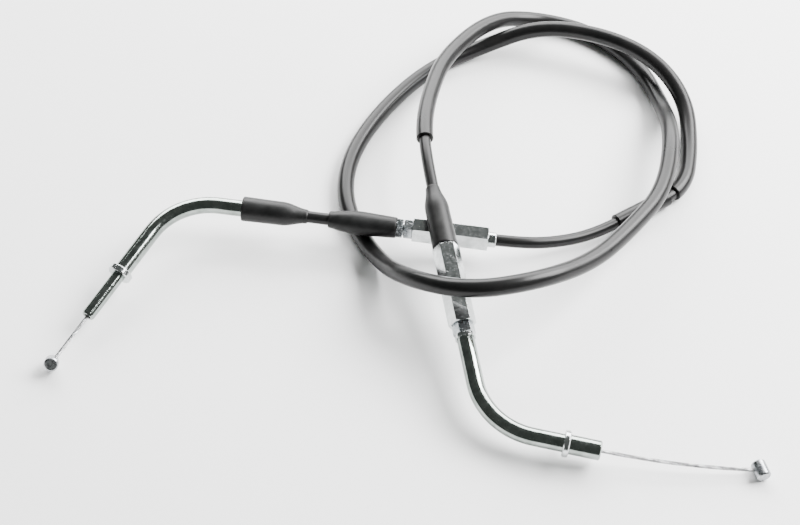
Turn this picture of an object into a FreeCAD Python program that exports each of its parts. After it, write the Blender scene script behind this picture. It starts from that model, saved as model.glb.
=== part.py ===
import FreeCAD, Part
import math
import os
import Sketcher
from FreeCAD import Placement, Rotation, Vector

# Motorcycle throttle cable: one inner wire with a nipple at each end, inside a long casing that
# crosses itself in a loop and a half. Each end has a bent steel guide tube with a locating collar
# and a threaded adjuster with a hexagonal barrel. The grip end takes the twist grip's drum, the
# carb end the throttle wheel on the carburettor.
#
# Frame: millimetres, +Z up, the cable lying flat on z = 0. +X runs from the grip end's nipple to
# the carb end's nipple. The origin is under the middle of the metal and rubber pieces.
#
# Each end is a line of pieces that share one axis, counted in stations from the barrel's face
# where the long casing goes in, and after the bend a second straight line, the leg.

SIZES = {
    # casing, from the wire outward
    "wire_diameter": 1.5,
    "liner_bore": 2.2,
    "liner_wall": 0.35,
    "winding_wall": 0.55,
    "casing_diameter": 5.2,
    "layer_gap": 0.05,
    "sleeve_gap": 0.2,
    "sleeve_wall": 1.0,
    "short_sleeve_start": 67,
    "short_sleeve_length": 29.2,
    "sleeve_split": 3.8,
    "long_sleeve_length": 815,
    # guide tubes, the same stock and bending tool at both ends
    "tube_diameter": 7.2,
    "bend_radius": 28,
    "bend_angle": 68,
    "mouth_bore": 3.0,
    "edge_break": 0.4,
    # adjusters
    "thread_diameter": 6.0,
    "turning_gap": 0.05,
    "seat_gap": 0.15,
    "barrel_flats": 10,
    "nut_flats": 8,
    "web_bore": 3.2,
    "ferrule_wall": 0.65,
    "ferrule_length": 10,
    "ferrule_stand_out": 3.4,
    "ferrule_end_wall": 1.6,
    "stem_overlap": 14,
    "adjuster_travel": 10,
    # rubber boots
    "boot_gap": 0.1,
    "boot_bulge": 10.4,
    "boot_neck_wall": 0.45,
    "boot_taper": 7,
    # grip end
    "grip_barrel_length": 32.8,
    "grip_nut_thickness": 3.6,
    "grip_thread_shown": 0.5,
    "grip_head_thickness": 2.6,
    "grip_socket_diameter": 7.0,
    "grip_socket_length": 12,
    "grip_boot_length": 29.7,
    "grip_boot_mouth": 9.1,
    "grip_boot_neck_wall": 1.0,
    "grip_bare_casing": 9.0,
    "grip_elbow_boot_length": 28.7,
    "grip_elbow_boot_mouth": 10.8,
    "grip_elbow_boot_cover": 11.3,
    "grip_tube_straight": 21.7,
    "grip_leg_straight": 21.6,
    "casing_insert": 8,
    "grip_collar_diameter": 10.4,
    "grip_collar_thickness": 2.8,
    "grip_tip_diameter": 5.6,
    "grip_tip_insert": 8,
    "grip_tip_length": 22.2,
    "grip_wire_shown": 24.7,
    "grip_wire_hidden": 15,
    # carb end
    "carb_barrel_length": 37.3,
    "carb_spigot_diameter": 8.0,
    "carb_spigot_length": 8,
    "carb_nut_thickness": 4.6,
    "carb_washer_diameter": 8.4,
    "carb_washer_thickness": 1.6,
    "carb_stem_insert": 8,
    "carb_boot_length": 31,
    "carb_boot_mouth": 10.9,
    "carb_tube_straight": 20.1,
    "carb_leg_straight": 24.0,
    "carb_collar_diameter": 10.6,
    "carb_collar_thickness": 2.4,
    "carb_tip_wall": 0.3,
    "carb_tip_length": 12.2,
    "carb_tip_end_wall": 2.5,
    "carb_wire_shown": 62.0,
    "carb_wire_hidden": 23,
    "carb_wire_bow_radius": 265,
    "wire_travel": 13,
    # nipples
    "nipple_diameter": 5.8,
    "nipple_length": 6.8,
    "nipple_edge": 0.5,
}

# Where each end lies: the point where the long casing goes into its barrel, the way its axis
# leaves the barrel (heading from +X about +Z, then climb), and how far the bend rolls about it.
GRIP_END = {"point": (39.5, 47.4, 11.5), "heading": 172.9, "climb": 2.7, "roll": -10.4}
CARB_END = {"point": (20.6, 33.6, 21.7), "heading": -80.3, "climb": -8.4, "roll": 0.2}
CARB_WIRE_BOW_ROLL = -9.5
GRIP_NIPPLE_HEADING, GRIP_NIPPLE_CLIMB = -75, 42
CARB_NIPPLE_HEADING = -75.4

# The long casing's route between the two barrels. Its first and last points lie on the two axes.
CASING_ROUTE = [
    (67, 48.3, 8), (86, 56, 4.5), (109, 70.5, 4.5), (130, 84, 4), (136, 109, 4.5),
    (137, 137, 9), (124, 158, 16), (101, 175, 16.5), (70, 184, 14.5), (42, 180, 4.5),
    (15, 164, 4), (-9, 133, 4), (-23, 101, 4), (-23, 71, 3.9), (-8, 40.5, 4.7),
    (6, 14, 25), (29, 0, 35), (56, 5, 35), (81, 24, 24), (100, 47, 19),
    (118, 72, 16.5), (126, 108, 16), (126, 140, 4.5), (118, 169, 4), (97, 192, 4),
    (70, 201, 5), (46, 188, 15.5), (23, 155.5, 20.5), (15, 124.5, 24.5), (12, 100.5, 27.5),
]
ROUTE_LEAD_GRIP = 11
ROUTE_LEAD_CARB = 43
BEND_SHARE = 0.45

doc = FreeCAD.newDocument("throttle_cable")
sheet = doc.addObject("Spreadsheet::Sheet", "Sizes")
for row, (alias, number) in enumerate(SIZES.items(), start=1):
    sheet.set(f"A{row}", alias)
    sheet.set(f"B{row}", str(number))
    sheet.setAlias(f"B{row}", alias)
doc.recompute()

NODES = []


def size(alias):
    """A driving dimension, as the sheet holds it."""
    return float(sheet.get(alias))


def bound(expression):
    """Turns {alias} in a formula into a reference to the sheet."""
    return expression.replace("{", "Sizes.").replace("}", "")


def worked_out(expression):
    """The number that a formula on the sheet's cells gives now."""
    number = expression
    for alias in SIZES:
        number = number.replace("{" + alias + "}", repr(size(alias)))
    return float(FreeCAD.Units.Quantity(number.replace(" ", "")).Value)


def direction(heading, climb):
    flat = math.cos(math.radians(climb))
    return Vector(
        math.cos(math.radians(heading)) * flat,
        math.sin(math.radians(heading)) * flat,
        math.sin(math.radians(climb)),
    )


def frame_along(point, axis, roll):
    """A frame with Z along axis. X is level and to the left of axis, turned by roll about it."""
    left = Vector(0, 0, 1).cross(axis).normalize()
    across = Rotation(axis, roll).multVec(left)
    return Placement(Vector(*point), Rotation(across, axis.cross(across), axis, "ZXY"))


def moved_along(frame, station):
    return frame.multiply(Placement(Vector(0, 0, station), Rotation()))


def leg_frame(line, bend_start):
    """The frame at the end of a tube's bend, which turns from Z towards X."""
    angle, radius = size("bend_angle"), size("bend_radius")
    turn = math.radians(angle)
    end = Vector(radius * (1 - math.cos(turn)), 0, bend_start + radius * math.sin(turn))
    return line.multiply(Placement(end, Rotation(Vector(0, 1, 0), angle)))


# ---------------------------------------------------------------- sketches and features


def origin_plane(body, role):
    return next(f for f in body.Origin.OriginFeatures if f.Role == role)


def new_body(label, placement):
    body = doc.addObject("PartDesign::Body", label)
    body.Label = label
    body.Placement = placement
    NODES.append(body)
    return body


def new_sketch(body, name, role):
    sketch = body.newObject("Sketcher::SketchObject", f"{body.Label}_{name}")
    sketch.AttachmentSupport = [(origin_plane(body, role), "")]
    sketch.MapMode = "FlatFace"
    return sketch


def pin_point(sketch, geometry, end, across, up):
    """Fixes one end of a line at a distance across and up from the sketch's origin."""
    for kind, axis, formula in (("DistanceX", -2, across), ("DistanceY", -1, up)):
        if formula == "0":
            sketch.addConstraint(Sketcher.Constraint("PointOnObject", geometry, end, axis))
        else:
            value = worked_out(formula)
            index = sketch.addConstraint(
                Sketcher.Constraint(kind, -1, 1, geometry, end, value)
            )
            sketch.setExpression(f"Constraints[{index}]", bound(formula))


def outline(sketch, points):
    """A closed outline of straight lines through (radius, station) formulas."""
    places = [Vector(worked_out(across), worked_out(up), 0) for across, up in points]
    count = len(points)
    for i in range(count):
        sketch.addGeometry(Part.LineSegment(places[i], places[(i + 1) % count]), False)
    for i in range(count):
        joint = Sketcher.Constraint("Coincident", i, 2, (i + 1) % count, 1)
        sketch.addConstraint(joint)
    for i, (across, up) in enumerate(points):
        pin_point(sketch, i, 1, across, up)


def turned(body, name, points, cut=False):
    """A piece turned about the body's Z axis, or a turned cut in it."""
    sketch = new_sketch(body, name + "_outline", "XZ_Plane")
    outline(sketch, points)
    kind = "PartDesign::Groove" if cut else "PartDesign::Revolution"
    feature = body.newObject(kind, f"{body.Label}_{name}")
    feature.Profile = sketch
    feature.ReferenceAxis = (sketch, ["V_Axis"])
    feature.Angle = 360
    sketch.Visibility = False
    doc.recompute()
    return feature


def ring(inner, outer, low, high):
    """The outline of a plain ring, as radius and station formulas."""
    return [(inner, low), (outer, low), (outer, high), (inner, high)]


def hexagon(body, name, flats, low, length):
    """A hexagonal bar along Z from one station, by its width across flats."""
    sketch = new_sketch(body, name + "_outline", "XY_Plane")
    across = worked_out(flats)
    corner = across / 2 / math.cos(math.pi / 6)
    corners = [
        Vector(corner * math.cos(math.pi / 3 * k), corner * math.sin(math.pi / 3 * k), 0)
        for k in range(6)
    ]
    for k in range(6):
        sketch.addGeometry(Part.LineSegment(corners[k], corners[(k + 1) % 6]), False)
    circle = sketch.addGeometry(Part.Circle(Vector(), Vector(0, 0, 1), corner), True)
    sketch.addConstraint(Sketcher.Constraint("Coincident", circle, 3, -1, 1))
    radius = sketch.addConstraint(Sketcher.Constraint("Radius", circle, corner))
    sketch.setExpression(f"Constraints[{radius}]", bound(f"({flats}) / 2 / cos(30 deg)"))
    for k in range(6):
        sketch.addConstraint(Sketcher.Constraint("Coincident", k, 2, (k + 1) % 6, 1))
        sketch.addConstraint(Sketcher.Constraint("PointOnObject", k, 1, circle))
        if k:
            sketch.addConstraint(Sketcher.Constraint("Equal", 0, k))
    sketch.addConstraint(Sketcher.Constraint("PointOnObject", 0, 1, -1))
    if low != "0":
        sketch.setExpression("AttachmentOffset.Base.z", bound(low))
    pad = body.newObject("PartDesign::Pad", f"{body.Label}_{name}")
    pad.Profile = sketch
    pad.Length = worked_out(length)
    pad.setExpression("Length", bound(length))
    sketch.Visibility = False
    doc.recompute()
    return pad


def corner_breaks(body, flats, low, high):
    """Turns the corners of a hexagon's two end faces down, as nuts have them."""
    inner = f"({flats}) / 2"
    outer = f"({flats}) / 2 + 2"
    turned(body, "low_break", [
        (inner, low), (outer, low), (outer, f"{low} + 1"),
    ], cut=True)
    turned(body, "high_break", [
        (inner, high), (outer, high), (outer, f"{high} - 1"),
    ], cut=True)


def bent(label, placement, outer, bore, lead, angle, radius, tail):
    """A tube or rod that runs straight along Z, bends towards X, and may run straight again."""
    body = new_body(label, placement)
    path = new_sketch(body, "path", "XZ_Plane")
    lead_mm, radius_mm = worked_out(lead), worked_out(radius)
    turn = math.radians(worked_out(angle))
    centre = Vector(radius_mm, lead_mm, 0)
    path.addGeometry(Part.LineSegment(Vector(), Vector(0, lead_mm, 0)), False)
    circle = Part.Circle(centre, Vector(0, 0, 1), radius_mm)
    path.addGeometry(Part.ArcOfCircle(circle, math.pi - turn, math.pi), False)
    path.addConstraint(Sketcher.Constraint("Coincident", 0, 1, -1, 1))
    path.addConstraint(Sketcher.Constraint("Tangent", 0, 2, 1, 2))
    path.addConstraint(Sketcher.Constraint("PointOnObject", 0, 2, -2))
    rows = [("DistanceY", (0, 1, 0, 2), lead), ("Radius", (1,), radius)]
    end = centre + radius_mm * Vector(-math.cos(turn), math.sin(turn), 0)
    rows.append(("DistanceX", (-1, 1, 1, 1), f"({radius}) * (1 - cos(({angle}) * 1 deg))"))
    if tail:
        onward = end + worked_out(tail) * Vector(math.sin(turn), math.cos(turn), 0)
        path.addGeometry(Part.LineSegment(end, onward), False)
        path.addConstraint(Sketcher.Constraint("Tangent", 2, 1, 1, 1))
        rows.append(("Distance", (2,), tail))
    for kind, points, formula in rows:
        if kind == "DistanceX":
            value = end.x
        else:
            value = worked_out(formula)
        index = path.addConstraint(Sketcher.Constraint(kind, *points, value))
        path.setExpression(f"Constraints[{index}]", bound(formula))
    doc.recompute()
    pipes = [("outside", outer, "PartDesign::AdditivePipe")]
    if bore:
        pipes.append(("bore", bore, "PartDesign::SubtractivePipe"))
    for name, diameter, kind in pipes:
        section = new_sketch(body, name, "XY_Plane")
        section.addGeometry(
            Part.Circle(Vector(), Vector(0, 0, 1), worked_out(diameter) / 2), False
        )
        section.addConstraint(Sketcher.Constraint("Coincident", 0, 3, -1, 1))
        index = section.addConstraint(
            Sketcher.Constraint("Diameter", 0, worked_out(diameter))
        )
        section.setExpression(f"Constraints[{index}]", bound(diameter))
        pipe = body.newObject(kind, f"{label}_{name}_pipe")
        pipe.Profile = section
        pipe.Spine = path
        section.Visibility = False
        doc.recompute()
    path.Visibility = False
    return body


# ---------------------------------------------------------------- formulas that pieces share

CASING = "{casing_diameter} / 2"
CASING_BORE = "({casing_diameter} / 2 + {layer_gap})"
WIRE = "{wire_diameter} / 2"
LINER_INNER = "{liner_bore} / 2"
LINER_OUTER = "({liner_bore} / 2 + {liner_wall})"
WINDING_INNER = "({liner_bore} / 2 + {liner_wall} + {layer_gap})"
WINDING_OUTER = "({liner_bore} / 2 + {liner_wall} + {layer_gap} + {winding_wall})"
JACKET_INNER = "({liner_bore} / 2 + {liner_wall} + 2 * {layer_gap} + {winding_wall})"
SLEEVE_INNER = "({casing_diameter} / 2 + {sleeve_gap})"
SLEEVE_OUTER = "({casing_diameter} / 2 + {sleeve_gap} + {sleeve_wall})"
TUBE = "{tube_diameter} / 2"
THREAD = "{thread_diameter} / 2"
THREAD_HOLE = "({thread_diameter} / 2 + {turning_gap})"
WEB = "{web_bore} / 2"
FERRULE = "({casing_diameter} / 2 + {layer_gap} + {ferrule_wall})"
SOCKET = f"({FERRULE} + {{turning_gap}})"
SOCKET_DEPTH = "({ferrule_length} - {ferrule_stand_out} + {turning_gap})"
TUBE_BORE_DIAMETER = "{casing_diameter} + 2 * {layer_gap}"

grip_line = frame_along(
    GRIP_END["point"], direction(GRIP_END["heading"], GRIP_END["climb"]), GRIP_END["roll"]
)
carb_line = frame_along(
    CARB_END["point"], direction(CARB_END["heading"], CARB_END["climb"]), CARB_END["roll"]
)


# ---------------------------------------------------------------- pieces both ends have


def barrel_ferrule(label, line, mouth):
    """The cup crimped on the long casing's end; mouth is the station of the barrel's face."""
    body = new_body(label, moved_along(line, mouth - size("ferrule_stand_out")))
    turned(body, "cup", [
        (WEB, "{ferrule_length}"),
        (WEB, "{ferrule_length} - {ferrule_end_wall}"),
        (CASING_BORE, "{ferrule_length} - {ferrule_end_wall}"),
        (CASING_BORE, "0"),
        (f"{FERRULE} - {{edge_break}}", "0"),
        (FERRULE, "{edge_break}"),
        (FERRULE, "{ferrule_length}"),
    ])


def adjuster_barrel(label, line, length, spigot):
    """A hexagonal barrel with the ferrule's socket at one end and the thread at the other."""
    body = new_body(label, moved_along(line, -worked_out(spigot)))
    high = f"({spigot} + {length})"
    hexagon(body, "bar", "{barrel_flats}", spigot, length)
    corner_breaks(body, "{barrel_flats}", spigot, high)
    if spigot != "0":
        turned(body, "spigot", [
            ("0", "0"),
            ("{carb_spigot_diameter} / 2", "0"),
            ("{carb_spigot_diameter} / 2", f"{spigot} + 1"),
            ("0", f"{spigot} + 1"),
        ])
    turned(body, "bore", [
        ("0", "0"),
        (SOCKET, "0"),
        (SOCKET, SOCKET_DEPTH),
        (WEB, SOCKET_DEPTH),
        (WEB, f"{SOCKET_DEPTH} + {{ferrule_end_wall}}"),
        (THREAD_HOLE, f"{SOCKET_DEPTH} + {{ferrule_end_wall}}"),
        (THREAD_HOLE, high),
        ("0", high),
    ], cut=True)


def lock_nut(label, line, station, thickness):
    body = new_body(label, moved_along(line, station))
    hexagon(body, "bar", "{nut_flats}", "0", thickness)
    corner_breaks(body, "{nut_flats}", "0", thickness)
    turned(body, "hole", [
        ("0", "0"), (THREAD_HOLE, "0"), (THREAD_HOLE, thickness), ("0", thickness),
    ], cut=True)


def collar(label, frame, station, inner, diameter, thickness):
    body = new_body(label, moved_along(frame, station))
    turned(body, "ring", [
        (inner, "0"),
        (f"{diameter} / 2 - {{edge_break}}", "0"),
        (f"{diameter} / 2", "{edge_break}"),
        (f"{diameter} / 2", f"{thickness} - {{edge_break}}"),
        (f"{diameter} / 2 - {{edge_break}}", thickness),
        (inner, thickness),
    ])


def boot(label, frame, length, neck_wall, mouth, socket, depth):
    """A rubber boot with its neck at station 0, its mouth at length and a socket in the mouth."""
    body = new_body(label, frame)
    bore = f"({CASING} + {{boot_gap}})"
    step = f"({length} - ({depth}))"
    turned(body, "shell", [
        (f"({socket} + {{boot_gap}})", length),
        (f"({socket} + {{boot_gap}})", step),
        (bore, step),
        (bore, "0"),
        (f"{bore} + {neck_wall}", "0"),
        (f"{bore} + {neck_wall} + 0.25", "{boot_taper} * 0.35"),
        ("{boot_bulge} / 2 - 0.2", "{boot_taper} * 1.25"),
        ("{boot_bulge} / 2", "{boot_taper} * 2"),
        (f"{mouth} / 2", length),
    ])


def nipple(label, centre, axis, wire_way):
    """A barrel nipple, centred on the wire's end, with the hole that the wire is cast into."""
    turn = Rotation(Vector(0, 0, 1), axis)
    half = turn.multVec(Vector(0, 0, size("nipple_length") / 2))
    barrel = doc.addObject("Part::Cylinder", label + "_barrel")
    barrel.setExpression("Radius", bound("{nipple_diameter} / 2"))
    barrel.setExpression("Height", bound("{nipple_length}"))
    barrel.Placement = Placement(centre - half, turn)
    doc.recompute()
    rounded = doc.addObject("Part::Chamfer", label + "_edges")
    rounded.Base = barrel
    edge = size("nipple_edge")
    rims = [
        i for i, e in enumerate(barrel.Shape.Edges, start=1) if isinstance(e.Curve, Part.Circle)
    ]
    rounded.Edges = [(i, edge, edge) for i in rims]
    hole = doc.addObject("Part::Cylinder", label + "_wire_hole")
    hole.setExpression("Radius", bound("{wire_diameter} / 2 + {layer_gap}"))
    hole.setExpression("Height", bound("{nipple_length}"))
    hole.Placement = Placement(centre, Rotation(Vector(0, 0, 1), wire_way))
    cut = doc.addObject("Part::Cut", label)
    cut.Label = label
    cut.Base = rounded
    cut.Tool = hole
    doc.recompute()
    NODES.append(cut)


def sheath(label, frame, length, inner, outer):
    """One layer of a straight casing."""
    body = new_body(label, frame)
    turned(body, "layer", ring(inner, outer, "0", length))


# ---------------------------------------------------------------- the grip end


def grip_end():
    gap = size("seat_gap")
    nut = size("grip_barrel_length") + gap
    head = nut + size("grip_nut_thickness") + size("grip_thread_shown")
    boot_mouth = head + size("grip_head_thickness") + gap
    boot_neck = boot_mouth + size("grip_boot_length")
    elbow_boot_neck = boot_neck + size("grip_bare_casing")
    elbow_boot_mouth = elbow_boot_neck + size("grip_elbow_boot_length")
    tube = elbow_boot_mouth - size("grip_elbow_boot_cover")
    bend = tube + size("grip_tube_straight")
    leg = leg_frame(grip_line, bend)
    tip_end = (
        size("grip_leg_straight") + size("grip_collar_thickness") + size("grip_tip_length")
    )
    stem = size("grip_barrel_length") - size("stem_overlap") - size("adjuster_travel")
    casing_start = head + size("grip_head_thickness") + 1
    casing_end = tube + size("casing_insert")

    adjuster_barrel("grip_adjuster_barrel", grip_line, "{grip_barrel_length}", "0")
    barrel_ferrule("grip_barrel_ferrule", grip_line, 0)
    lock_nut("grip_lock_nut", moved_along(grip_line, nut), 0, "{grip_nut_thickness}")
    adjuster_bolt(moved_along(grip_line, stem))
    length = casing_end - casing_start
    sheet_value("grip_casing_length", length)
    for label, inner, outer in (
        ("short_casing", JACKET_INNER, CASING),
        ("short_casing_winding", WINDING_INNER, WINDING_OUTER),
        ("short_casing_liner", LINER_INNER, LINER_OUTER),
    ):
        sheath(label, moved_along(grip_line, casing_start), "{grip_casing_length}", inner, outer)
    flipped = Placement(Vector(), Rotation(Vector(1, 0, 0), 180))
    boot(
        "grip_adjuster_boot",
        moved_along(grip_line, boot_neck).multiply(flipped),
        "{grip_boot_length}",
        "{grip_boot_neck_wall}",
        "{grip_boot_mouth}",
        "{grip_socket_diameter} / 2",
        "{grip_socket_length} + {boot_gap}",
    )
    boot(
        "grip_elbow_boot",
        moved_along(grip_line, elbow_boot_neck),
        "{grip_elbow_boot_length}",
        "{boot_neck_wall}",
        "{grip_elbow_boot_mouth}",
        TUBE,
        "{grip_elbow_boot_cover} + {boot_gap}",
    )
    bent(
        "grip_elbow_tube", moved_along(grip_line, tube), "{tube_diameter}",
        TUBE_BORE_DIAMETER, "{grip_tube_straight}", "{bend_angle}", "{bend_radius}",
        "{grip_leg_straight}",
    )
    tip_radius = "{grip_tip_diameter} / 2"
    collar(
        "grip_collar", leg, size("grip_leg_straight"), CASING,
        "{grip_collar_diameter}", "{grip_collar_thickness}",
    )
    tip = new_body(
        "grip_tip_tube", moved_along(leg, size("grip_leg_straight") - size("grip_tip_insert"))
    )
    shoulder = "({grip_tip_insert} + {grip_collar_thickness})"
    whole = f"({shoulder} + {{grip_tip_length}})"
    turned(tip, "tube", [
        ("{mouth_bore} / 2", "0"),
        (CASING, "0"),
        (CASING, shoulder),
        (tip_radius, shoulder),
        (tip_radius, f"{whole} - 2 * {{edge_break}}"),
        (f"{tip_radius} - {{edge_break}}", whole),
        ("{mouth_bore} / 2", whole),
    ])
    wire_start = tip_end - size("grip_wire_hidden")
    end = new_body("grip_wire_end", moved_along(leg, wire_start))
    turned(end, "strand", ring("0", WIRE, "0", "{grip_wire_hidden} + {grip_wire_shown}"))
    centre = moved_along(leg, tip_end + size("grip_wire_shown")).Base
    nipple(
        "grip_nipple", centre, direction(GRIP_NIPPLE_HEADING, GRIP_NIPPLE_CLIMB),
        leg.Rotation.multVec(Vector(0, 0, -1)),
    )
    clear = size("grip_wire_shown") - size("nipple_diameter") / 2 + 1
    sheet_value("grip_middle_lead", bend - stem)
    sheet_value("grip_middle_tail", wire_start - clear)
    bent(
        "grip_wire_middle", moved_along(grip_line, stem), "{wire_diameter}", None,
        "{grip_middle_lead}", "{bend_angle}", "{bend_radius}", "{grip_middle_tail}",
    )


def adjuster_bolt(frame):
    """The threaded stem with a hexagonal head and the socket that the short casing is in."""
    body = new_body("grip_adjuster_bolt", frame)
    head = (
        "({stem_overlap} + {adjuster_travel} + {seat_gap}"
        " + {grip_nut_thickness} + {grip_thread_shown})"
    )
    high = head + " + {grip_head_thickness}"
    end = high + " + {grip_socket_length}"
    hexagon(body, "head", "{nut_flats}", head, "{grip_head_thickness}")
    corner_breaks(body, "{nut_flats}", head, high)
    turned(body, "stem", [
        ("0", "0"),
        (f"{THREAD} - {{edge_break}}", "0"),
        (THREAD, "{edge_break}"),
        (THREAD, head),
        ("{grip_socket_diameter} / 2", high),
        ("{grip_socket_diameter} / 2", end),
        ("0", end),
    ])
    turned(body, "bore", [
        ("0", "0"),
        (WEB, "0"),
        (WEB, high + " + 1"),
        (CASING_BORE, high + " + 1"),
        (CASING_BORE, end),
        ("0", end),
    ], cut=True)


# ---------------------------------------------------------------- the carb end


def carb_end():
    gap = size("seat_gap")
    nut = size("carb_barrel_length") + gap
    washer = nut + size("carb_nut_thickness") + gap
    tube = washer + size("carb_washer_thickness")
    bend = tube + size("carb_tube_straight")
    leg = leg_frame(carb_line, bend)
    spigot_face = -size("carb_spigot_length")
    stem = size("carb_barrel_length") - size("stem_overlap") - size("adjuster_travel")
    collar_at = (
        size("carb_leg_straight") + size("carb_tip_end_wall")
        - size("carb_tip_length") - size("carb_collar_thickness")
    )
    tip_end = size("carb_leg_straight") + size("carb_tip_end_wall")

    adjuster_barrel(
        "carb_adjuster_barrel", carb_line, "{carb_barrel_length}", "{carb_spigot_length}"
    )
    barrel_ferrule("carb_barrel_ferrule", carb_line, spigot_face)
    lock_nut("carb_lock_nut", moved_along(carb_line, nut), 0, "{carb_nut_thickness}")
    ring_body = new_body("carb_lock_washer", moved_along(carb_line, washer))
    turned(ring_body, "ring", ring(
        THREAD_HOLE, "{carb_washer_diameter} / 2", "0", "{carb_washer_thickness}",
    ))
    stem_body = new_body("carb_adjuster_stem", moved_along(carb_line, stem))
    thread = (
        "({stem_overlap} + {adjuster_travel} + 2 * {seat_gap}"
        " + {carb_nut_thickness} + {carb_washer_thickness})"
    )
    whole = thread + " + {carb_stem_insert}"
    turned(stem_body, "stem", [
        (WEB, "0"),
        (f"{THREAD} - {{edge_break}}", "0"),
        (THREAD, "{edge_break}"),
        (THREAD, thread),
        (CASING, thread),
        (CASING, whole),
        (WEB, whole),
    ])
    boot(
        "carb_adjuster_boot",
        moved_along(carb_line, -size("seat_gap") - size("carb_boot_length")),
        "{carb_boot_length}",
        "{boot_neck_wall}",
        "{carb_boot_mouth}",
        "{carb_spigot_diameter} / 2",
        "{carb_spigot_length} + {ferrule_stand_out} + {boot_gap}",
    )
    bent(
        "carb_elbow_tube", moved_along(carb_line, tube), "{tube_diameter}",
        TUBE_BORE_DIAMETER, "{carb_tube_straight}", "{bend_angle}", "{bend_radius}",
        "{carb_leg_straight}",
    )
    collar(
        "carb_collar", leg, collar_at, TUBE, "{carb_collar_diameter}",
        "{carb_collar_thickness}",
    )
    tip = new_body("carb_tip_tube", moved_along(leg, collar_at + size("carb_collar_thickness")))
    inside = "({carb_tip_length} - {carb_tip_end_wall})"
    tip_radius = f"({TUBE} + {{carb_tip_wall}})"
    turned(tip, "cap", [
        (TUBE, "0"),
        (tip_radius, "0"),
        (tip_radius, "{carb_tip_length} - {edge_break}"),
        (f"{tip_radius} - {{edge_break}}", "{carb_tip_length}"),
        ("{mouth_bore} / 2", "{carb_tip_length}"),
        ("{mouth_bore} / 2", inside),
        (TUBE, inside),
    ])
    wire_frame = moved_along(leg, tip_end - size("carb_wire_hidden"))
    axis = leg.Rotation.multVec(Vector(0, 0, 1))
    wire_frame = frame_along(wire_frame.Base, axis, CARB_WIRE_BOW_ROLL)
    bow = "({carb_wire_shown} / {carb_wire_bow_radius} * 180 / 3.14159265)"
    bent(
        "carb_wire_end", wire_frame, "{wire_diameter}", None, "{carb_wire_hidden}", bow,
        "{carb_wire_bow_radius}", None,
    )
    radius = size("carb_wire_bow_radius")
    turn = size("carb_wire_shown") / radius
    tip_of_wire = Vector(
        radius * (1 - math.cos(turn)), 0, size("carb_wire_hidden") + radius * math.sin(turn)
    )
    inward = Vector(-math.sin(turn), 0, -math.cos(turn))
    nipple(
        "carb_nipple", wire_frame.multVec(tip_of_wire), direction(CARB_NIPPLE_HEADING, 0),
        wire_frame.Rotation.multVec(inward),
    )
    reach = size("carb_wire_hidden") + size("wire_travel") - tip_end
    skipped = math.degrees((reach + 2) / size("bend_radius"))
    sheet_value("carb_middle_lead", bend - stem)
    sheet_value("carb_middle_angle", size("bend_angle") - skipped)
    bent(
        "carb_wire_middle", moved_along(carb_line, stem), "{wire_diameter}", None,
        "{carb_middle_lead}", "{carb_middle_angle}", "{bend_radius}", None,
    )


def sheet_value(alias, number):
    """Adds a length that follows from the driving ones, so that sketches can be bound to it."""
    last = len(SIZES) + 1
    SIZES[alias] = number
    sheet.set(f"A{last}", alias)
    sheet.set(f"B{last}", f"{number:.6f}")
    sheet.setAlias(f"B{last}", alias)
    doc.recompute()


# ---------------------------------------------------------------- the long casing and sleeves


def route_points():
    """The whole route: the ends on the two axes, and the points between them."""
    depth = size("ferrule_length") - size("ferrule_stand_out") - size("ferrule_end_wall")
    spigot = size("carb_spigot_length")
    first = moved_along(grip_line, depth).Base
    second = moved_along(grip_line, -ROUTE_LEAD_GRIP).Base
    before_last = moved_along(carb_line, -ROUTE_LEAD_CARB).Base
    last = moved_along(carb_line, depth - spigot).Base
    return [first, second] + [Vector(*p) for p in CASING_ROUTE] + [before_last, last]


def corner(points, i):
    """The arc at one point of the route: where it starts, its middle, its end and its radius."""
    arriving, leaving = points[i] - points[i - 1], points[i + 1] - points[i]
    reach = BEND_SHARE * min(arriving.Length, leaving.Length)
    turn = arriving.getAngle(leaving)
    radius = reach / math.tan(turn / 2)
    start = points[i] - arriving.normalize() * reach
    end = points[i] + leaving.normalize() * reach
    towards = ((start + end) * 0.5 - points[i]).normalize()
    middle = points[i] + towards * (radius / math.cos(turn / 2) - radius)
    return start, middle, end, radius


def smooth_path(points):
    """The whole route as straight edges and the arcs tangent to them."""
    edges = []
    at = points[0]
    for i in range(1, len(points) - 1):
        arc_start, middle, arc_end, _ = corner(points, i)
        edges.append(Part.LineSegment(at, arc_start).toShape())
        edges.append(Part.Arc(arc_start, middle, arc_end).toShape())
        at = arc_end
    edges.append(Part.LineSegment(at, points[-1]).toShape())
    return Part.Wire(edges)


def part_of_path(path, low, high):
    """The stretch of a path between two lengths along it."""
    edges = []
    passed = 0
    for edge in path.Edges:
        first, last = max(low - passed, 0), min(high - passed, edge.Length)
        if last > first:
            span = [edge.getParameterByLength(at) for at in (first, last)]
            edges.append(edge.Curve.toShape(*span))
        passed += edge.Length
    return Part.Wire(edges)


def swept(label, path, inner, outer):
    """A tube, or a rod where inner is none, along a path in space."""
    start = path.Vertexes[0].Point
    way = path.Edges[0].tangentAt(path.Edges[0].FirstParameter)
    outer_mm = worked_out(outer)
    inner_mm = worked_out(inner) if inner else 0
    section = Part.Face(Part.Wire(Part.makeCircle(outer_mm, start, way)))
    if inner:
        hole = Part.Face(Part.Wire(Part.makeCircle(inner_mm, start, way)))
        section = section.cut(hole).Faces[0]
    shape = path.makePipe(section)
    if shape.ShapeType != "Solid":
        shape = shape.Solids[0] if shape.Solids else Part.makeSolid(shape)
    piece = doc.addObject("Part::Feature", label)
    piece.Label = label
    piece.Shape = shape
    expected = math.pi * (outer_mm**2 - inner_mm**2) * path.Length
    print(f"{label}: {path.Length:.0f} mm long, volume {shape.Volume / expected:.4f} of expected")
    NODES.append(piece)


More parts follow.
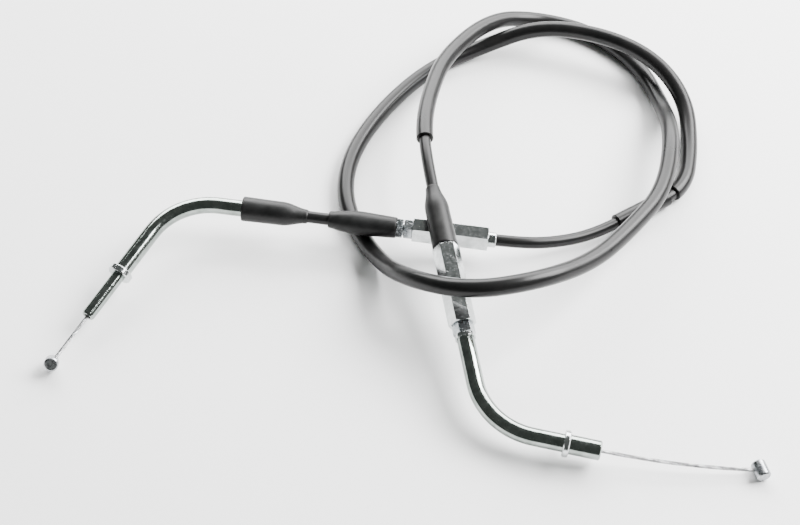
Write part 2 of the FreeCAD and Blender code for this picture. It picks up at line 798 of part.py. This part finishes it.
def long_casing():
    points = route_points()
    radii = [corner(points, i)[3] for i in range(1, len(points) - 1)]
    print("casing bend radii, mm:", " ".join(f"{radius:.0f}" for radius in radii))
    path = smooth_path(points)
    for label, inner, outer in (
        ("main_casing", JACKET_INNER, CASING),
        ("main_casing_winding", WINDING_INNER, WINDING_OUTER),
        ("main_casing_liner", LINER_INNER, LINER_OUTER),
        ("main_inner_wire", None, WIRE),
    ):
        swept(label, path, inner, outer)
    short_end = size("short_sleeve_start") + size("short_sleeve_length")
    long_start = short_end + size("sleeve_split")
    long_end = long_start + size("long_sleeve_length")
    for label, low, high in (
        ("short_sleeve", size("short_sleeve_start"), short_end),
        ("long_sleeve", long_start, long_end),
    ):
        swept(label, part_of_path(path, low, high), SLEEVE_INNER, SLEEVE_OUTER)


# ---------------------------------------------------------------- build, check, write


def check():
    for item in doc.Objects:
        bad = {"Invalid", "Error"} & set(item.State)
        if bad:
            raise RuntimeError(f"{item.Name} is {sorted(bad)}")
    for node in NODES:
        shape = node.Shape
        if shape.isNull() or not shape.isValid() or len(shape.Solids) != 1:
            raise RuntimeError(f"{node.Label} isn't one valid solid")


grip_end()
carb_end()
long_casing()
doc.recompute()
check()
os.makedirs("parts", exist_ok=True)
for node in NODES:
    node.Shape.exportStep(f"parts/{node.Label}.step")
print(len(NODES), "nodes written")
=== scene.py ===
import math

import bpy
from mathutils import Matrix, Quaternion, Vector


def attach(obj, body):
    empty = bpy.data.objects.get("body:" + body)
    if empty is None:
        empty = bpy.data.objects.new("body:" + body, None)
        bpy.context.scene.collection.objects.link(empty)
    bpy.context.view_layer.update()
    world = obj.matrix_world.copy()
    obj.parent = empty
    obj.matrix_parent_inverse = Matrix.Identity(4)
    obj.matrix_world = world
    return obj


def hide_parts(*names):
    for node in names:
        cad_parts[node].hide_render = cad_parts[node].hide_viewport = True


# The looks of a motorcycle throttle cable that lies in a loop and a half on a plain pale floor.
# Every length is in metres in the CAD's frame: +Z up, the floor at z = 0.

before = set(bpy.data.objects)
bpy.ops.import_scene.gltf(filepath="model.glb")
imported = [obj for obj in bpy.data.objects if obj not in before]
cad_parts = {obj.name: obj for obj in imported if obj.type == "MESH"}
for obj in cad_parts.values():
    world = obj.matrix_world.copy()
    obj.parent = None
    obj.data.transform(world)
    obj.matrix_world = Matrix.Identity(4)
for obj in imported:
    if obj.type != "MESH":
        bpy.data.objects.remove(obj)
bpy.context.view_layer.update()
MM = 0.001
UP = Vector((0, 0, 1))

# ---------------------------------------------------------------- the two ends' axes, as in the CAD

GRIP_END = {"point": (39.5, 47.4, 11.5), "heading": 172.9, "climb": 2.7, "roll": -10.4}
CARB_END = {"point": (20.6, 33.6, 21.7), "heading": -80.3, "climb": -8.4, "roll": 0.2}
BEND_RADIUS, BEND_ANGLE = 28 * MM, 68
GRIP_BEND_STATION, CARB_BEND_STATION = 117.6 * MM, 63.9 * MM
CARB_WIRE_BOW_ROLL = -9.5


def direction(heading, climb):
    flat = math.cos(math.radians(climb))
    return Vector((
        math.cos(math.radians(heading)) * flat,
        math.sin(math.radians(heading)) * flat,
        math.sin(math.radians(climb)),
    ))


def frame_along(point, axis, roll):
    """A frame with Z along axis. X is level and to the left of axis, turned by roll about it."""
    left = UP.cross(axis).normalized()
    across = Quaternion(axis, math.radians(roll)) @ left
    turn = Matrix((across, axis.cross(across), axis)).transposed().to_4x4()
    return Matrix.Translation(Vector(point)) @ turn


def moved_along(base, station):
    return base @ Matrix.Translation((0, 0, station))


def leg_frame(line, bend_start):
    turn = math.radians(BEND_ANGLE)
    end = Vector((
        BEND_RADIUS * (1 - math.cos(turn)), 0, bend_start + BEND_RADIUS * math.sin(turn)
    ))
    return line @ Matrix.Translation(end) @ Matrix.Rotation(turn, 4, "Y")


def end_line(end):
    """The frame of one end's axis at the barrel's mouth."""
    return frame_along(
        Vector(end["point"]) * MM, direction(end["heading"], end["climb"]), end["roll"]
    )


grip_line, carb_line = end_line(GRIP_END), end_line(CARB_END)
grip_leg = leg_frame(grip_line, GRIP_BEND_STATION)
carb_leg = leg_frame(carb_line, CARB_BEND_STATION)

# ---------------------------------------------------------------- camera


def make_camera():
    """A camera in front, looking down at 50 degrees."""
    camera = bpy.data.objects.new("camera", bpy.data.cameras.new("camera"))
    bpy.context.scene.collection.objects.link(camera)
    target = Vector((1.5, 44, 0)) * MM
    elevation, distance = math.radians(50), 0.6
    camera.location = target + distance * Vector(
        (0, -math.cos(elevation), math.sin(elevation))
    )
    camera.rotation_euler = (target - camera.location).to_track_quat("-Z", "Y").to_euler()
    camera.data.lens = 62
    camera.data.sensor_width = 36
    camera.data.clip_start = 0.01
    bpy.context.scene.camera = camera


# ---------------------------------------------------------------- node helpers


def add(tree, kind, links=(), **settings):
    """Adds a shader node, sets its inputs and properties, and links sources to its inputs."""
    node = tree.nodes.new(kind)
    for name, value in settings.items():
        socket = node.inputs.get(name.replace("_", " "))
        if hasattr(node, name):
            setattr(node, name, value)
        elif socket is not None:
            socket.default_value = value
    for name, source in dict(links).items():
        tree.links.new(source, node.inputs[name])
    return node


def ramp(tree, source, stops):
    """A colour ramp from (position, grey or colour) stops."""
    node = add(tree, "ShaderNodeValToRGB", {"Fac": source})
    elements = node.color_ramp.elements
    while len(elements) < len(stops):
        elements.new(0.5)
    for element, (position, colour) in zip(elements, stops):
        element.position = position
        if isinstance(colour, (int, float)):
            colour = (colour, colour, colour)
        element.color = (*colour, 1)
    return node.outputs["Color"]


def noise(tree, scale, detail=4, coords="Object", stretch=None, roughness=0.5):
    """A noise texture over object or UV coordinates, stretched by a scale for each axis."""
    source = add(tree, "ShaderNodeTexCoord").outputs[coords]
    if stretch:
        mapping = add(tree, "ShaderNodeMapping", {"Vector": source})
        mapping.inputs["Scale"].default_value = stretch
        source = mapping.outputs["Vector"]
    node = add(tree, "ShaderNodeTexNoise", {"Vector": source})
    node.inputs["Scale"].default_value = scale
    node.inputs["Detail"].default_value = detail
    node.inputs["Roughness"].default_value = roughness
    return node.outputs["Fac"]


def bump(tree, height, distance, strength=1.0, before=None):
    node = add(tree, "ShaderNodeBump", {"Height": height})
    node.inputs["Distance"].default_value = distance
    node.inputs["Strength"].default_value = strength
    if before is not None:
        tree.links.new(before, node.inputs["Normal"])
    return node.outputs["Normal"]


def new_material(name, **values):
    material = bpy.data.materials.new(name)
    material.use_nodes = True
    shader = material.node_tree.nodes["Principled BSDF"]
    for key, value in values.items():
        shader.inputs[key.replace("_", " ")].default_value = value
    return material, material.node_tree, shader


# ---------------------------------------------------------------- materials


def zinc_plate(name, light, dark, roughness, pits=0.3):
    """Bright zinc plate: mottled, with fine pits and softened edges."""
    material, tree, shader = new_material(name, Metallic=1.0)
    clouds = noise(tree, 260, 6, roughness=0.65)
    tree.links.new(
        ramp(tree, clouds, [(0.34, dark), (0.62, light)]), shader.inputs["Base Color"]
    )
    streaks = noise(tree, 900, 3)
    gloss = ramp(tree, streaks, [(0.35, roughness * 0.75), (0.7, roughness * 1.35)])
    tree.links.new(gloss, shader.inputs["Roughness"])
    soft = add(tree, "ShaderNodeBevel", samples=4)
    soft.inputs["Radius"].default_value = 0.25 * MM
    fine = noise(tree, 2600, 2)
    spots = ramp(tree, noise(tree, 700, 2), [(0.28, 0.0), (0.36, 1.0)])
    waves = bump(tree, clouds, 0.00012, 0.25, soft.outputs["Normal"])
    pitted = bump(tree, spots, 0.00006, pits, waves)
    tree.links.new(bump(tree, fine, 0.00002, 0.35, pitted), shader.inputs["Normal"])
    return material


def black_vinyl(name, grey, roughness):
    """Extruded black vinyl: long faint die lines, handling marks and a soft orange peel."""
    material, tree, shader = new_material(name, Specular_IOR_Level=0.22)
    marks = noise(tree, 90, 5, roughness=0.7)
    tone = ramp(tree, marks, [
        (0.35, (grey * 0.8, grey * 0.8, grey * 0.82)),
        (0.7, (grey * 1.35, grey * 1.3, grey * 1.28)),
    ])
    tree.links.new(tone, shader.inputs["Base Color"])
    gloss = ramp(tree, marks, [(0.3, roughness * 0.97), (0.75, roughness * 1.08)])
    tree.links.new(gloss, shader.inputs["Roughness"])
    lines = noise(tree, 1.0, 3, "UV", (0.05, 24, 1))
    peel = noise(tree, 900, 2)
    drawn = bump(tree, lines, 0.00002, 0.2)
    tree.links.new(bump(tree, peel, 0.00003, 0.3, drawn), shader.inputs["Normal"])
    return material


def black_rubber(name):
    """Moulded rubber: satin, finely grained, with a dusty bloom."""
    material, tree, shader = new_material(name, Specular_IOR_Level=0.25)
    bloom = noise(tree, 140, 5, roughness=0.7)
    tone = ramp(tree, bloom, [(0.35, (0.006, 0.006, 0.006)), (0.72, (0.012, 0.012, 0.012))])
    tree.links.new(tone, shader.inputs["Base Color"])
    gloss = ramp(tree, bloom, [(0.3, 0.36), (0.75, 0.52)])
    tree.links.new(gloss, shader.inputs["Roughness"])
    grain = noise(tree, 3200, 2)
    dents = noise(tree, 220, 3)
    soft = bump(tree, dents, 0.00015, 0.3)
    tree.links.new(bump(tree, grain, 0.00002, 0.4, soft), shader.inputs["Normal"])
    return material


def steel_strand(name):
    """Galvanised wire strand: each strand's own fine wires show as slanting grooves."""
    material, tree, shader = new_material(name, Metallic=1.0)
    grime = noise(tree, 500, 4)
    tone = ramp(tree, grime, [(0.3, (0.20, 0.20, 0.20)), (0.65, (0.52, 0.52, 0.53))])
    tree.links.new(tone, shader.inputs["Base Color"])
    gloss = ramp(tree, grime, [(0.3, 0.42), (0.7, 0.28)])
    tree.links.new(gloss, shader.inputs["Roughness"])
    coords = add(tree, "ShaderNodeTexCoord").outputs["UV"]
    wave = add(tree, "ShaderNodeTexWave", {"Vector": coords}, wave_type="BANDS")
    wave.bands_direction = "DIAGONAL"
    wave.inputs["Scale"].default_value = 0.9
    wave.inputs["Distortion"].default_value = 0.4
    tree.links.new(bump(tree, wave.outputs["Fac"], 0.00006, 0.7), shader.inputs["Normal"])
    return material


def waxy_liner(name):
    material, tree, shader = new_material(name)
    tone = ramp(tree, noise(tree, 300, 3), [(0.3, (0.62, 0.61, 0.56)), (0.7, (0.74, 0.73, 0.69))])
    tree.links.new(tone, shader.inputs["Base Color"])
    gloss = ramp(tree, noise(tree, 900, 2), [(0.3, 0.3), (0.7, 0.42)])
    tree.links.new(gloss, shader.inputs["Roughness"])
    return material


# ---------------------------------------------------------------- mesh helpers


def link(obj, material):
    bpy.context.scene.collection.objects.link(obj)
    obj.data.materials.clear()
    obj.data.materials.append(material)
    return obj


def mesh_piece(name, vertices, faces, uvs, material):
    mesh = bpy.data.meshes.new(name)
    mesh.from_pydata([tuple(v) for v in vertices], [], faces)
    layer = mesh.uv_layers.new(name="along")
    for polygon in mesh.polygons:
        for corner_index, loop_index in enumerate(polygon.loop_indices):
            layer.data[loop_index].uv = uvs[polygon.index][corner_index]
    mesh.shade_smooth()
    mesh.set_sharp_from_angle(angle=math.radians(38))
    mesh.update()
    return link(bpy.data.objects.new(name, mesh), material)


def path_frames(points):
    """A direction and two square sideways directions at each point, carried on without twist."""
    count = len(points)
    ways = [
        (points[min(i + 1, count - 1)] - points[max(i - 1, 0)]).normalized()
        for i in range(count)
    ]
    side = ways[0].orthogonal().normalized()
    frames = []
    for way in ways:
        side = (side - way * side.dot(way)).normalized()
        frames.append((way, side, way.cross(side)))
    return frames


def sweep(points, section):
    """A section of (sideways, up) places swept along points with its ends closed."""
    vertices, faces, uvs = [], [], []
    around = len(section)
    length = 0.0
    lengths = []
    for i, point in enumerate(points):
        length += (point - points[i - 1]).length if i else 0
        lengths.append(length)
    for point, (_, side, up) in zip(points, path_frames(points)):
        vertices += [point + side * x + up * y for x, y in section]
    for i in range(len(points) - 1):
        for k in range(around):
            n = (k + 1) % around
            a, b = i * around, (i + 1) * around
            faces.append((a + k, b + k, b + n, a + n))
            u, v = lengths[i] / MM, lengths[i + 1] / MM
            uvs.append([
                (u, k / around), (v, k / around), (v, (k + 1) / around), (u, (k + 1) / around)
            ])
    last = (len(points) - 1) * around
    faces.append(tuple(range(around)))
    faces.append(tuple(last + k for k in reversed(range(around))))
    uvs += [[(0, 0)] * around] * 2
    return vertices, faces, uvs


def circle(radius, sides):
    turn = 2 * math.pi / sides
    return [(radius * math.cos(turn * k), radius * math.sin(turn * k)) for k in range(sides)]


def lathe(name, base, outline, material, sides=72):
    """A closed outline of (radius, station) points turned about the base frame's Z axis."""
    rings = len(outline)
    vertices, faces, uvs = [], [], []
    for k in range(sides):
        turn = 2 * math.pi * k / sides
        for radius, station in outline:
            vertices.append(
                base @ Vector((radius * math.cos(turn), radius * math.sin(turn), station))
            )
    for k in range(sides):
        n = (k + 1) % sides
        for i in range(rings):
            j = (i + 1) % rings
            faces.append((k * rings + i, n * rings + i, n * rings + j, k * rings + j))
            u, v = outline[i][1] / MM, outline[j][1] / MM
            uvs.append([(u, k / sides), (u, (k + 1) / sides), (v, (k + 1) / sides), (v, k / sides)])
    return mesh_piece(name, vertices, faces, uvs, material)


def smoothed(places, steps=8):
    """A smooth line through (radius, station) places."""
    line = []
    for i in range(len(places) - 1):
        p0 = Vector(places[max(i - 1, 0)])
        p1, p2 = Vector(places[i]), Vector(places[i + 1])
        p3 = Vector(places[min(i + 2, len(places) - 1)])
        for k in range(steps):
            f = k / steps
            bend = (
                2 * p1 + (p2 - p0) * f + (2 * p0 - 5 * p1 + 4 * p2 - p3) * f**2
                + (3 * p1 - p0 - 3 * p2 + p3) * f**3
            )
            line.append(tuple(bend / 2))
    line.append(tuple(places[-1]))
    return line


# ---------------------------------------------------------------- the long casing and its sleeves

CASING_RADIUS = 2.6 * MM
SLEEVE_INNER, SLEEVE_OUTER = 2.8 * MM, 3.8 * MM
SLEEVE_STEP_MM = 1.2
# The route of the long casing, in millimetres, between its ends on the two axes.
CASING_ROUTE = [
    (67, 48.3, 8), (86, 56, 4.5), (109, 70.5, 4.5), (130, 84, 4), (136, 109, 4.5),
    (137, 137, 9), (124, 158, 16), (101, 175, 16.5), (70, 184, 14.5), (42, 180, 4.5),
    (15, 164, 4), (-9, 133, 4), (-23, 101, 4), (-23, 71, 3.9), (-8, 40.5, 4.7),
    (6, 14, 25), (29, 0, 35), (56, 5, 35), (81, 24, 24), (100, 47, 19),
    (118, 72, 16.5), (126, 108, 16), (126, 140, 4.5), (118, 169, 4), (97, 192, 4),
    (70, 201, 5), (46, 188, 15.5), (23, 155.5, 20.5), (15, 124.5, 24.5), (12, 100.5, 27.5),
]
CASING_ENDS = {"grip": (5, -11), "carb": (-3, -43)}


def casing_points():
    """The whole route in metres: two points on each end's axis, and the route between them."""
    grip = [moved_along(grip_line, s * MM).translation for s in CASING_ENDS["grip"]]
    carb = [moved_along(carb_line, s * MM).translation for s in CASING_ENDS["carb"]]
    return grip + [Vector(p) * MM for p in CASING_ROUTE] + carb[::-1]


def casing_curve(name, bevel):
    """The casing's line: one smooth spline with the route's points as control points."""
    curve = bpy.data.curves.new(name, "CURVE")
    curve.dimensions = "3D"
    points = casing_points()
    spline = curve.splines.new("NURBS")
    spline.points.add(len(points) - 1)
    for place, point in zip(spline.points, points):
        place.co = (*point, 1)
    spline.order_u = 3
    spline.use_endpoint_u = True
    spline.resolution_u = 16
    curve.bevel_depth = bevel
    curve.bevel_resolution = 8
    curve.use_fill_caps = bevel > 0
    return bpy.data.objects.new(name, curve)


def line_of_casing():
    """Points along the casing's spline, read from a copy of it with no bevel."""
    bare = casing_curve("bare_line", 0)
    bpy.context.scene.collection.objects.link(bare)
    mesh = bpy.data.meshes.new_from_object(bare)
    points = [vertex.co.copy() for vertex in mesh.vertices]
    bpy.data.objects.remove(bare)
    bpy.data.meshes.remove(mesh)
    return points


def even_points(points, low, high, step):
    """Points at equal steps along a line, between two lengths of it."""
    places = []
    wanted = low
    passed = 0.0
    for a, b in zip(points, points[1:]):
        span = (b - a).length
        while wanted <= passed + span and wanted <= high:
            places.append(a.lerp(b, (wanted - passed) / span))
            wanted += step
        passed += span
    return places


def sleeve(name, points, low, high, material):
    """A hollow sleeve along the casing, with rounded rims."""
    path = even_points(points, low, high, SLEEVE_STEP_MM * MM)
    sides = 40
    rim = 0.35 * MM
    stations = list(zip(path, path_frames(path)))
    (first, start), (last, end) = stations[0], stations[-1]
    middle = [(point, across, SLEEVE_OUTER) for point, across in stations[1:-1]]
    rings = [
        (first, start, SLEEVE_INNER),
        (first, start, SLEEVE_OUTER - rim),
        (first + start[0] * rim, start, SLEEVE_OUTER),
    ]
    rings += middle
    rings += [
        (last - end[0] * rim, end, SLEEVE_OUTER),
        (last, end, SLEEVE_OUTER - rim),
        (last, end, SLEEVE_INNER),
    ]
    rings += [(point, across, SLEEVE_INNER) for point, across, _ in reversed(middle)]
    vertices, faces, uvs = [], [], []
    for point, (_, side, up), radius in rings:
        vertices += [point + side * x + up * y for x, y in circle(radius, sides)]
    total = len(rings)
    for i in range(total):
        j = (i + 1) % total
        for k in range(sides):
            n = (k + 1) % sides
            faces.append((i * sides + k, j * sides + k, j * sides + n, i * sides + n))
            u, v = i * SLEEVE_STEP_MM, i * SLEEVE_STEP_MM + SLEEVE_STEP_MM
            uvs.append([
                (u, k / sides), (v, k / sides), (v, (k + 1) / sides), (u, (k + 1) / sides)
            ])
    return mesh_piece(name, vertices, faces, uvs, material)


def make_cords(vinyl, sleeve_vinyl):
    casing = link(casing_curve("long_casing", CASING_RADIUS), vinyl)
    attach(casing, "root")
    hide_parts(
        "main_casing", "main_casing_winding", "main_casing_liner", "main_inner_wire"
    )
    points = line_of_casing()
    short = sleeve("short_guard_sleeve", points, 66.5 * MM, 95.7 * MM, sleeve_vinyl)
    long = sleeve("long_guard_sleeve", points, 99.5 * MM, 913 * MM, sleeve_vinyl)
    for piece, node in ((short, "short_sleeve"), (long, "long_sleeve")):
        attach(piece, "root")
        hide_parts(node)


# ---------------------------------------------------------------- rubber boots


def boot(name, node, body, base, length, neck, mouth, socket, depth, material):
    """A boot's smooth outside, a rounded lip, and the same bores as in the CAD."""
    bulge, bore = 5.2 * MM, 2.7 * MM
    lip = 0.35 * MM
    outside = smoothed([
        (neck - 0.1 * MM, 0.45 * MM),
        (neck + 0.12 * MM, 2.2 * MM),
        (neck + 0.65 * MM, 4.6 * MM),
        (bulge - 0.55 * MM, 7.6 * MM),
        (bulge - 0.05 * MM, 10.6 * MM),
        (bulge, 15 * MM),
        ((bulge + mouth) / 2, (15 * MM + length) / 2),
        (mouth, length - 2 * lip),
    ])
    outline = [(bore, 0), (neck - 0.45 * MM, 0)] + outside
    outline += [
        (mouth - 0.12 * MM, length - 0.6 * lip),
        (mouth - lip, length),
        (socket, length),
        (socket, length - depth),
        (bore, length - depth),
    ]
    piece = lathe(name, base, outline, material)
    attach(piece, body)
    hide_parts(node)


def make_boots(rubber):
    flipped = Matrix.Rotation(math.pi, 4, "X")
    boot(
        "grip_adjuster_cover", "grip_adjuster_boot", "grip_boot",
        moved_along(grip_line, 69.5 * MM) @ flipped, 29.7 * MM,
        3.7 * MM, 4.55 * MM, 3.6 * MM, 12.1 * MM, rubber,
    )
    boot(
        "grip_elbow_cover", "grip_elbow_boot", "grip_end",
        moved_along(grip_line, 78.5 * MM), 28.7 * MM,
        3.15 * MM, 5.4 * MM, 3.7 * MM, 11.4 * MM, rubber,
    )
    boot(
        "carb_adjuster_cover", "carb_adjuster_boot", "carb_boot",
        moved_along(carb_line, -31.15 * MM), 31 * MM,
        3.15 * MM, 5.45 * MM, 4.1 * MM, 11.5 * MM, rubber,
    )


# ---------------------------------------------------------------- the wire's two bare ends

# Stations on the two legs where the bare wires start, inside the tips.
GRIP_WIRE_START, GRIP_WIRE_LENGTH = 31.6 * MM, 39.7 * MM
CARB_WIRE_START = 3.5 * MM


def strand_wire(name, node, body, axis_points, material):
    """Six strands laid round a seventh."""
    strand = 0.25 * MM
    pitch = 8.5 * MM
    frames = path_frames(axis_points)
    vertices, faces, uvs = [], [], []
    for number in range(7):
        passed = 0.0
        places = []
        for i, point in enumerate(axis_points):
            if i:
                passed += (point - axis_points[i - 1]).length
            _, side, up = frames[i]
            turn = 2 * math.pi * (passed / pitch + number / 6)
            out = 0 if number == 6 else 2 * strand
            places.append(point + out * (side * math.cos(turn) + up * math.sin(turn)))
        more, more_faces, more_uvs = sweep(places, circle(strand, 8))
        start = len(vertices)
        vertices += more
        faces += [tuple(start + v for v in face) for face in more_faces]
        uvs += more_uvs
    piece = mesh_piece(name, vertices, faces, uvs, material)
    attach(piece, body)
    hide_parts(node)


def make_wire_ends(steel):
    """The grip end's straight wire and the carb end's slightly bowed one, in short steps."""
    step = 0.4 * MM
    start = moved_along(grip_leg, GRIP_WIRE_START)
    count = int(GRIP_WIRE_LENGTH / step) + 1
    places = [moved_along(start, step * i).translation for i in range(count)]
    strand_wire("grip_strand", "grip_wire_end", "grip_wire", places, steel)

    base = moved_along(carb_leg, CARB_WIRE_START)
    axis = carb_leg.to_quaternion() @ UP
    base = frame_along(base.translation, axis, CARB_WIRE_BOW_ROLL)
    hidden, shown, radius = 23 * MM, 62 * MM, 265 * MM
    places = []
    for i in range(int((hidden + shown) / step) + 1):
        along = i * step
        turn = max(0.0, along - hidden) / radius
        places.append(base @ Vector((
            radius * (1 - math.cos(turn)), 0, min(along, hidden) + radius * math.sin(turn)
        )))
    strand_wire("carb_strand", "carb_wire_end", "carb_wire", places, steel)


# ---------------------------------------------------------------- floor, light, and the CAD's pieces


def make_floor():
    """A plain pale floor with a faint unevenness."""
    bpy.ops.mesh.primitive_plane_add(size=6, location=(0, 0, 0))
    floor = bpy.context.object
    floor.name = "floor"
    material, tree, shader = new_material("pale_floor", Roughness=0.9)
    shader.inputs["Specular IOR Level"].default_value = 0.0
    paper = ramp(tree, noise(tree, 3, 2), [(0.3, 0.86), (0.7, 0.88)])
    tree.links.new(paper, shader.inputs["Base Color"])
    floor.data.materials.append(material)


def area_light(name, place, aim, size, power, colour=(1, 1, 1)):
    data = bpy.data.lights.new(name, "AREA")
    data.shape = "RECTANGLE"
    data.size, data.size_y = size
    data.energy = power
    data.color = colour
    light = bpy.data.objects.new(name, data)
    light.location = place
    light.rotation_euler = (Vector(aim) - Vector(place)).to_track_quat("-Z", "Y").to_euler()
    bpy.context.scene.collection.objects.link(light)


def make_light():
    """A dim room, a wide softbox low behind the cable and one to the right."""
    world = bpy.data.worlds.new("room")
    bpy.context.scene.world = world
    world.use_nodes = True
    background = world.node_tree.nodes["Background"]
    background.inputs["Color"].default_value = (0.78, 0.84, 0.80, 1)
    background.inputs["Strength"].default_value = 0.16
    area_light("back_softbox", (0.15, 1.0, 0.66), (0, 0.05, 0), (1.9, 0.8), 74)
    area_light("side_softbox", (0.95, 0.3, 0.85), (0, 0.05, 0), (0.8, 0.8), 72)


def dress_nodes(materials):
    """Gives each CAD piece that stays its material."""
    for name, material in materials.items():
        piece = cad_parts[name]
        piece.data.materials.clear()
        piece.data.materials.append(material)


make_camera()
jacket = black_vinyl("jacket_vinyl", 0.009, 0.3)
guard = black_vinyl("guard_vinyl", 0.008, 0.28)
make_cords(jacket, guard)
make_boots(black_rubber("boot_rubber"))
strand_steel = steel_strand("strand_steel")
make_wire_ends(strand_steel)
bright = zinc_plate("bright_zinc_plate", (0.62, 0.64, 0.64), (0.44, 0.46, 0.46), 0.16)
tube_zinc = zinc_plate("tube_zinc_plate", (0.34, 0.37, 0.35), (0.22, 0.25, 0.23), 0.14, 0.1)
nut_zinc = zinc_plate("nut_zinc_plate", (0.55, 0.57, 0.58), (0.28, 0.31, 0.33), 0.22, 0.6)
cast_zinc = zinc_plate("cast_zinc_alloy", (0.42, 0.43, 0.44), (0.25, 0.26, 0.28), 0.3, 0.5)
liner = waxy_liner("liner_plastic")
dress_nodes({
    "grip_adjuster_barrel": bright,
    "grip_barrel_ferrule": bright,
    "grip_lock_nut": nut_zinc,
    "grip_adjuster_bolt": nut_zinc,
    "grip_elbow_tube": tube_zinc,
    "grip_collar": bright,
    "grip_tip_tube": tube_zinc,
    "grip_nipple": cast_zinc,
    "grip_wire_middle": strand_steel,
    "short_casing": jacket,
    "short_casing_winding": strand_steel,
    "short_casing_liner": liner,
    "carb_adjuster_barrel": bright,
    "carb_barrel_ferrule": bright,
    "carb_lock_nut": nut_zinc,
    "carb_lock_washer": bright,
    "carb_adjuster_stem": bright,
    "carb_elbow_tube": tube_zinc,
    "carb_collar": bright,
    "carb_tip_tube": tube_zinc,
    "carb_nipple": cast_zinc,
    "carb_wire_middle": strand_steel,
})
make_floor()
make_light()
